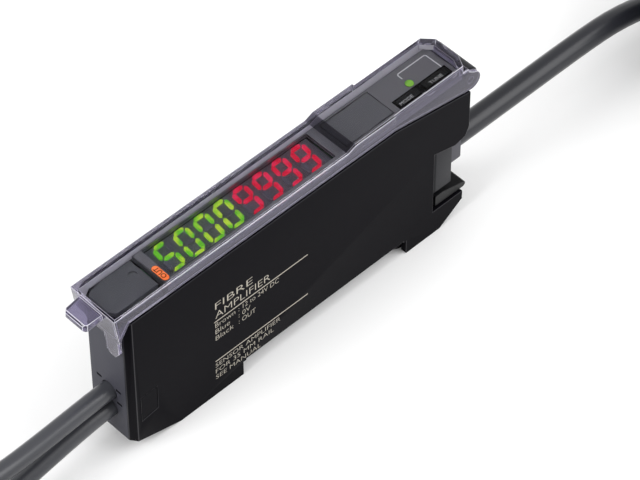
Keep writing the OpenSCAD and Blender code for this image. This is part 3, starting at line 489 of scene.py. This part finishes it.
rules("side_rules", [rule((RULE_X0, SIDE_Y, z), (RULE_X1, SIDE_Y, z), RULE_MM, UP) for z in RULE_Z], beige_ink)

# %% [markdown]
# A thin white frame runs round the tune key and the lamp on the panel. It is broken at the lamp, at the keys and on
# the near side. Each stretch is a run of short rules along its points, which overlap a little at the corners.

# %% Frame on the panel
FRAME_MM, OVERLAP_MM = 0.2, 0.08
FRAME = [[(62.95, 1.5), (62.95, 2.4), (63.2, 2.65), (68.85, 2.65), (69.1, 2.4), (69.15, -0.85)],
         [(63.3, -2.95), (63.4, -3.2), (63.65, -3.3), (64.6, -3.3)],
         [(69.6, -2.95), (69.5, -3.2), (69.2, -3.3), (68.7, -3.3)]]
strips = []
for stretch in FRAME:
    for (ax, ay), (bx, by) in zip(stretch, stretch[1:]):
        along = Vector((bx - ax, by - ay, 0)).normalized()
        grow = along * OVERLAP_MM
        strips.append(rule((ax - grow.x, ay - grow.y, PANEL_Z), (bx + grow.x, by + grow.y, PANEL_Z), FRAME_MM,
                           (-along.y, along.x, 0)))
rules("panel_frame", strips, white_ink)

# %% [markdown]
# ## The leads
# The power lead leaves the rear bush straight, sinks to the floor and ends in a hank that is tied up beyond the
# picture. The fibres leave the front the same way. A simulation could drop them, but it would not give a known
# length. So each lead is one curve of its real length: first the free stretch, then turns that lie beside and on each
# other one diameter apart, then a short tail. A hank is a racetrack wound lane by lane, from the outside to the
# inside, then back out on the next layer. The points repeat the routes of the CAD model.

# %% Shape of a route
RUN_STEPS, CROSS_STEPS, FOLD_STEPS = 4, 6, 12  # points on a straight run, on the run back, and round a fold


def smooth_route(points, step):
    """Points of a Catmull-Rom curve through the given points, about a step apart."""
    points = [Vector(p) for p in points]
    ends = [2 * points[0] - points[1]] + points + [2 * points[-1] - points[-2]]
    route = []
    for a, b, c, d in zip(ends, ends[1:], ends[2:], ends[3:]):
        count = max(1, round((c - b).length / step))
        for i in range(count):
            t = i / count
            route.append(0.5 * (2 * b + (c - a) * t + (2 * a - 5 * b + 4 * c - d) * t ** 2
                                + (3 * b - a - 3 * c + d) * t ** 3))
    return route + [points[-1]]


def hank_turns(fold_x, straight, way, centre_y, low_z, pitch, lanes, turns, top_z=None, half=None):
    """Racetrack turns from the far side of the first fold. way is the sign of x in which the first run goes. top_z
    is the height of the last crossing over the hank. half adds half a turn and that much of its way back."""
    order = []
    while len(order) < turns + 1:
        layer = len(order) // len(lanes)
        order += [(r, low_z + layer * pitch) for r in (lanes if layer % 2 == 0 else lanes[::-1])]
    if top_z is not None:
        order[turns] = (order[turns][0], top_z)
    route = []

    def out_and_round(r, z):
        for i in range(RUN_STEPS):
            route.append((fold_x + way * straight * i / RUN_STEPS, centre_y + r, z))
        for i in range(FOLD_STEPS):
            a = math.pi * i / FOLD_STEPS
            route.append((fold_x + way * (straight + r * math.sin(a)), centre_y + r * math.cos(a), z))

    for (r, z), (next_r, next_z) in zip(order[:turns], order[1:]):
        out_and_round(r, z)
        for i in range(CROSS_STEPS):
            t = i / CROSS_STEPS
            ease = t * t * (3 - 2 * t)
            route.append((fold_x + way * straight * (1 - t), centre_y - r + (r - next_r) * ease,
                          z + (next_z - z) * ease))
        for i in range(FOLD_STEPS):
            a = math.pi * i / FOLD_STEPS
            route.append((fold_x - way * next_r * math.sin(a), centre_y - next_r * math.cos(a), next_z))
    if half is not None:
        r, z = order[turns]
        out_and_round(r, z)
        for i in range(RUN_STEPS):
            route.append((fold_x + way * (straight - half * i / (RUN_STEPS - 1)), centre_y - r, z))
    return [Vector(p) for p in route]


print("points of a 10 mm stretch in 2 mm steps:", len(smooth_route([(0, 0, 0), (10, 0, 0)], 2)))

# %% [markdown]
# The free stretches and the tails are lists of points in millimetres. The two fibre hanks lie on each other: the
# upper one starts four layers higher.

# %% Points of the routes
CABLE_D, FIBRE_D, TIE_T = 4.0, 3.1, 0.5  # diameters of the leads, and the thickness of a tie under a hank
CABLE_LANES, FIBRE_LANES = [16, 12], [15.6, 12.5, 9.4]
FIBRE_FOLD_X, FIBRE_STRAIGHT, FIBRE_Y, FIBRE_TURNS = -87.15, 43, -15.6, 11
UPPER_BACK, LOWER_BACK = 14, FIBRE_STRAIGHT  # how far each fibre's last half turn runs back
CABLE_STEP, FIBRE_STEP = 3, 2  # mm between the points of a free stretch
LOWER_LAYERS = 4
LOWER_Z = TIE_T + FIBRE_D / 2
UPPER_Z = LOWER_Z + LOWER_LAYERS * FIBRE_D
cable_lead = [(36, 0, 12.3), (39, 0, 12.3), (47, 0, 12.3), (55, 0, 12.3), (63, 0, 12.3), (70, 0, 12.2),
              (76, 0.1, 11.6), (82, 0.3, 10), (88, 0.6, 7.4), (94, 0.85, 4.9), (98, 0.95, 3.6)]
cable_tail = [(108, 1, 26.95), (114, -0.4, 26.6), (120, -4, 26.5), (125, -7, 26.5), (130, -10, 26.5),
              (133, -11, 26.5), (137, -11, 26.5)]
fibre_upper_lead = [(-28, 0, 11.8), (-36, 0, 11.75), (-42, 0, 11.35), (-48, 0, 10.9), (-54, 0, 10.7), (-60, 0, 11.1),
                    (-66, 0, 12.3), (-72, 0, 13.7), (-78, 0, 14.45), (-82, 0, 14.5)]
fibre_lower_lead = [(-28, 0, 7.8), (-36, 0, 7.7), (-42, 0, 7), (-48, 0, 6), (-54, 0, 4.9), (-60, 0, 3.8),
                    (-66, 0, 2.9), (-72, 0, 2.3), (-78, 0, 2.05), (-82, 0, 2.05)]
fibre_upper_tail = [(-112, -30.2, 24.6), (-107, -29.2, 26.2), (-102, -28.2, 27.2), (-98, -27.9, 27.4),
                    (-94, -27.9, 27.4)]
fibre_lower_tail = [(-84, -31.2, 11.35), (-79, -31.2, 10.8), (-73, -31.2, 9), (-67, -31.2, 6.4), (-61, -31.2, 4),
                    (-56, -31.2, 2.5), (-52, -31.2, 2.05), (-48, -31.2, 2.05)]
cable_turns = hank_turns(fold_x=102, straight=36, way=1, centre_y=-15, low_z=TIE_T + CABLE_D / 2, pitch=CABLE_D,
                         lanes=CABLE_LANES, turns=12, top_z=27.05)
upper_turns, lower_turns = [
    hank_turns(FIBRE_FOLD_X, FIBRE_STRAIGHT, -1, FIBRE_Y, low_z, FIBRE_D, FIBRE_LANES, FIBRE_TURNS, half=half)
    for low_z, half in ((UPPER_Z, UPPER_BACK), (LOWER_Z, LOWER_BACK))]


def whole_route(first, turns, tail, step):
    """Free stretch, turns and tail as one smooth route."""
    start = smooth_route(first + [tuple(turns[0])], step)
    end = smooth_route([tuple(turns[-1])] + tail, step)
    return start[:-1] + turns[:-1] + end


cable_route = whole_route(cable_lead, cable_turns, cable_tail, CABLE_STEP)
upper_route = whole_route(fibre_upper_lead, upper_turns, fibre_upper_tail, FIBRE_STEP)
lower_route = whole_route(fibre_lower_lead, lower_turns, fibre_lower_tail, FIBRE_STEP)
print("points of the leads:", len(cable_route), len(upper_route), len(lower_route))

# %% [markdown]
# Each fibre ends in a nickel-plated brass head with a screw thread. A bump could fake the thread, but it would look
# smooth from the side. Geometry Nodes make it: a spiral curve swept with a small diamond is the thread, a cylinder is
# its core, and a thinner cylinder is the tip with the lens. The sizes are inputs of the tree, so one tree serves both
# heads.

# %% Tree of a threaded head
SPIRAL_STEPS, THREAD_SIDES, BAR_SIDES = 32, 4, 48


def thread_tree():
    """Node tree of a threaded head along z, with its sizes as inputs. Returns it with its input sockets by name."""
    tree = bpy.data.node_groups.new("threaded_head", "GeometryNodeTree")
    tree.interface.new_socket("Geometry", in_out="INPUT", socket_type="NodeSocketGeometry")
    sockets = {name: tree.interface.new_socket(name, in_out="INPUT", socket_type="NodeSocketFloat")
               for name in ("Length", "Core Radius", "Thread Size", "Turns", "Tip Radius", "Tip Length")}
    tree.interface.new_socket("Geometry", in_out="OUTPUT", socket_type="NodeSocketGeometry")
    given = add_node(tree, "NodeGroupInput").outputs
    spiral = add_node(tree, "GeometryNodeCurveSpiral", {
        "Rotations": given["Turns"], "Start Radius": given["Core Radius"], "End Radius": given["Core Radius"],
        "Height": given["Length"]}, Resolution=SPIRAL_STEPS)
    diamond = add_node(tree, "GeometryNodeCurvePrimitiveCircle", {"Radius": given["Thread Size"]},
                       Resolution=THREAD_SIDES)
    thread = add_node(tree, "GeometryNodeCurveToMesh", {
        "Curve": spiral.outputs["Curve"], "Profile Curve": diamond.outputs["Curve"]}, Fill_Caps=True)
    bars = []
    for radius, length, offset in (("Core Radius", "Length", None), ("Tip Radius", "Tip Length", "Length")):
        bar = add_node(tree, "GeometryNodeMeshCylinder", {"Radius": given[radius], "Depth": given[length]},
                       Vertices=BAR_SIDES)
        middle = add_node(tree, "ShaderNodeMath", {0: given[length]}, operation="MULTIPLY")
        middle.inputs[1].default_value = 0.5
        height = middle.outputs[0]
        if offset:
            height = add_node(tree, "ShaderNodeMath", {0: height, 1: given[offset]}, operation="ADD").outputs[0]
        place = add_node(tree, "ShaderNodeCombineXYZ", {"Z": height})
        bars.append(add_node(tree, "GeometryNodeTransform", {
            "Geometry": bar.outputs["Mesh"], "Translation": place.outputs["Vector"]}).outputs["Geometry"])
    join = add_node(tree, "GeometryNodeJoinGeometry")
    for part in (thread.outputs["Mesh"], *bars):
        tree.links.new(part, join.inputs["Geometry"])
    real = add_node(tree, "GeometryNodeRealizeInstances", {"Geometry": join.outputs["Geometry"]})
    dressed = add_node(tree, "GeometryNodeSetMaterial", {"Geometry": real.outputs["Geometry"]}, Material=nickel_brass)
    add_node(tree, "NodeGroupOutput", {"Geometry": dressed.outputs["Geometry"]})
    return tree, sockets


head_tree, head_inputs = thread_tree()
print("inputs of the threaded head:", ", ".join(head_inputs))

# %% [markdown]
# The tree is run on an empty carrier object, and its result becomes a plain mesh at the end of each fibre. The
# carrier goes away again, so no modifier is left on the piece.

# %% Threaded heads
HEAD_MM = {"Length": 14, "Core Radius": 1.78, "Thread Size": 0.2, "Tip Radius": 1.5, "Tip Length": 1.5}
HEAD_TURNS = 20.0


def threaded_head(name, place_mm, node):
    """A plain mesh of the head, along x from its place, in place of a CAD node."""
    carrier = bpy.data.objects.new("carrier", bpy.data.meshes.new("carrier"))
    scene.collection.objects.link(carrier)
    nodes_modifier = carrier.modifiers.new("head", "NODES")
    nodes_modifier.node_group = head_tree
    for socket, size in HEAD_MM.items():
        nodes_modifier[head_inputs[socket].identifier] = size * MM
    nodes_modifier[head_inputs["Turns"].identifier] = HEAD_TURNS
    mesh = bpy.data.meshes.new_from_object(carrier.evaluated_get(bpy.context.evaluated_depsgraph_get()))
    bpy.data.objects.remove(carrier)
    mesh.transform(Matrix.Translation(Vector(place_mm) * MM) @ Matrix.Rotation(math.radians(90), 4, "Y"))
    mesh.name = name
    piece = bpy.data.objects.new(name, mesh)
    scene.collection.objects.link(piece)
    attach(piece, "amplifier")
    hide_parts(node)
    print(name, "faces:", len(mesh.polygons))


threaded_head("upper_fibre_head", fibre_upper_tail[-1], "fibre_head_upper")
threaded_head("lower_fibre_head", fibre_lower_tail[-1], "fibre_head_lower")

# %% [markdown]
# A lead is a curve with one open spline and a round bevel, so its centre line can be measured. A mesh tube would
# look the same but hide its length. Smooth shading hides the facets of the bevel.

# %% A lead as a curve
def lead(name, route_mm, diameter_mm, material):
    """A lead along a route, as a curve of one open spline."""
    curve = bpy.data.curves.new(name, "CURVE")
    curve.dimensions = "3D"
    curve.bevel_depth = diameter_mm / 2 * MM
    curve.bevel_resolution = 4
    curve.use_fill_caps = True
    spline = curve.splines.new("POLY")
    spline.points.add(len(route_mm) - 1)
    for point, place in zip(spline.points, route_mm):
        point.co = (*(Vector(place) * MM), 1)
    spline.use_smooth = True
    curve.materials.append(material)
    piece = bpy.data.objects.new(name, curve)
    scene.collection.objects.link(piece)
    total = sum((Vector(b) - Vector(a)).length for a, b in zip(route_mm, route_mm[1:]))
    print(name, "length", round(total), "mm")
    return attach(piece, "amplifier")


power_lead = lead("power_lead", cable_route, CABLE_D, cable_pvc)
upper_fibre = lead("upper_fibre_lead", upper_route, FIBRE_D, fibre_pe)
lower_fibre = lead("lower_fibre_lead", lower_route, FIBRE_D, fibre_pe)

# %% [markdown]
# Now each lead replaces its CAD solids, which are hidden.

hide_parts("power_cable", "cable_hank")
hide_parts("fibre_upper", "fibre_hank_upper")
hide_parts("fibre_lower", "fibre_hank_lower")
print("declared as cords:", power_lead.name, upper_fibre.name, lower_fibre.name)

# %% [markdown]
# ## Soft edges
# No moulded edge is sharp: a small round catches the light and draws the thin bright lines of the photograph. Rounds
# in CAD would be exact but heavy, and Bevel modifiers are enough at this size. The CAD meshes are loose triangles, so
# each gets four modifiers: weld the triangles, dissolve the flat ones into whole faces, bevel the remaining edges,
# and split the shading where faces meet at more than 20 degrees, so that flat faces stay flat.

# %% Soft edges
EDGE_MM = {"case_body": 0.12, "side_cover": 0.15, "operation_panel": 0.08, "protective_cover": 0.07,
           "up_down_key": 0.15, "mode_key": 0.15, "tune_key": 0.15, "lock_lever": 0.12, "rail_lock": 0.15,
           "cable_bush": 0.2, "display_window": 0.05, "output_lamp": 0.1, "status_lamp": 0.1}
WELD_MM = 0.002
FLAT_DEGREES, BEVEL_DEGREES, SPLIT_DEGREES = 1, 35, 20
for name, width in EDGE_MM.items():
    piece = nodes[name]
    weld = piece.modifiers.new("weld", "WELD")
    weld.merge_threshold = WELD_MM * MM
    flat = piece.modifiers.new("flat", "DECIMATE")
    flat.decimate_type = "DISSOLVE"
    flat.angle_limit = math.radians(FLAT_DEGREES)
    bevel = piece.modifiers.new("soft_edge", "BEVEL")
    bevel.width = width * MM
    bevel.segments = 2
    bevel.limit_method = "ANGLE"
    bevel.angle_limit = math.radians(BEVEL_DEGREES)
    bevel.use_clamp_overlap = name != "protective_cover"  # its smallest edge would clamp all its rounds away
    # The rounds of the cover and of the side plate take their painted highlight.
    if name in EDGE_PAINTED_HIGHLIGHT:
        bevel.material = len(piece.data.materials) - 1
    split = piece.modifiers.new("split", "EDGE_SPLIT")
    split.split_angle = math.radians(SPLIT_DEGREES)
    for polygon in piece.data.polygons:
        polygon.use_smooth = True
print("nodes with soft edges:", len(EDGE_MM))

# %% [markdown]
# ## Floor and light
# The photograph is a cut-out on white. A pale floor under a white world and two soft lamps light the black case at a
# plain level: the key lamp stands beyond the fibre end, and a weak fill lamp on the near side lifts the cover's
# edges. The floor keeps the soft shadow that a cut-out lacks.

# %% Floor and light
FLOOR_M, WORLD_STRENGTH = 4.0, 0.8  # half the floor's side, and the world's light
AIM_M = (0, 0, 0.02)
LAMPS = {"key_lamp": ((-0.9, 0.1, 0.7), 0.6, 10), "fill_lamp": ((0.36, -0.36, 0.36), 0.5, 2.4)}  # place, side, watts
floor_paint, _, _ = new_material("white_studio_floor", "#f4f4f4", 0.9)  # a matt white that shows soft shadows
floor_corners = [(x * FLOOR_M, y * FLOOR_M, 0) for x, y in ((-1, -1), (1, -1), (1, 1), (-1, 1))]
floor = mesh_object("studio_floor", floor_corners, [(0, 1, 2, 3)], floor_paint)

world = bpy.data.worlds.new("studio")
scene.world = world
world.use_nodes = True
world.node_tree.nodes["Background"].inputs["Color"].default_value = (1, 1, 1, 1)
world.node_tree.nodes["Background"].inputs["Strength"].default_value = WORLD_STRENGTH

for name, (place, side, watts) in LAMPS.items():
    lamp = bpy.data.lights.new(name, "AREA")
    lamp.shape = "RECTANGLE"
    lamp.size = lamp.size_y = side
    lamp.energy = watts
    lamp_object = bpy.data.objects.new(name, lamp)
    lamp_object.location = place
    lamp_object.rotation_euler = (Vector(AIM_M) - Vector(place)).to_track_quat("-Z", "Y").to_euler()
    scene.collection.objects.link(lamp_object)
print("lamps:", ", ".join(LAMPS))
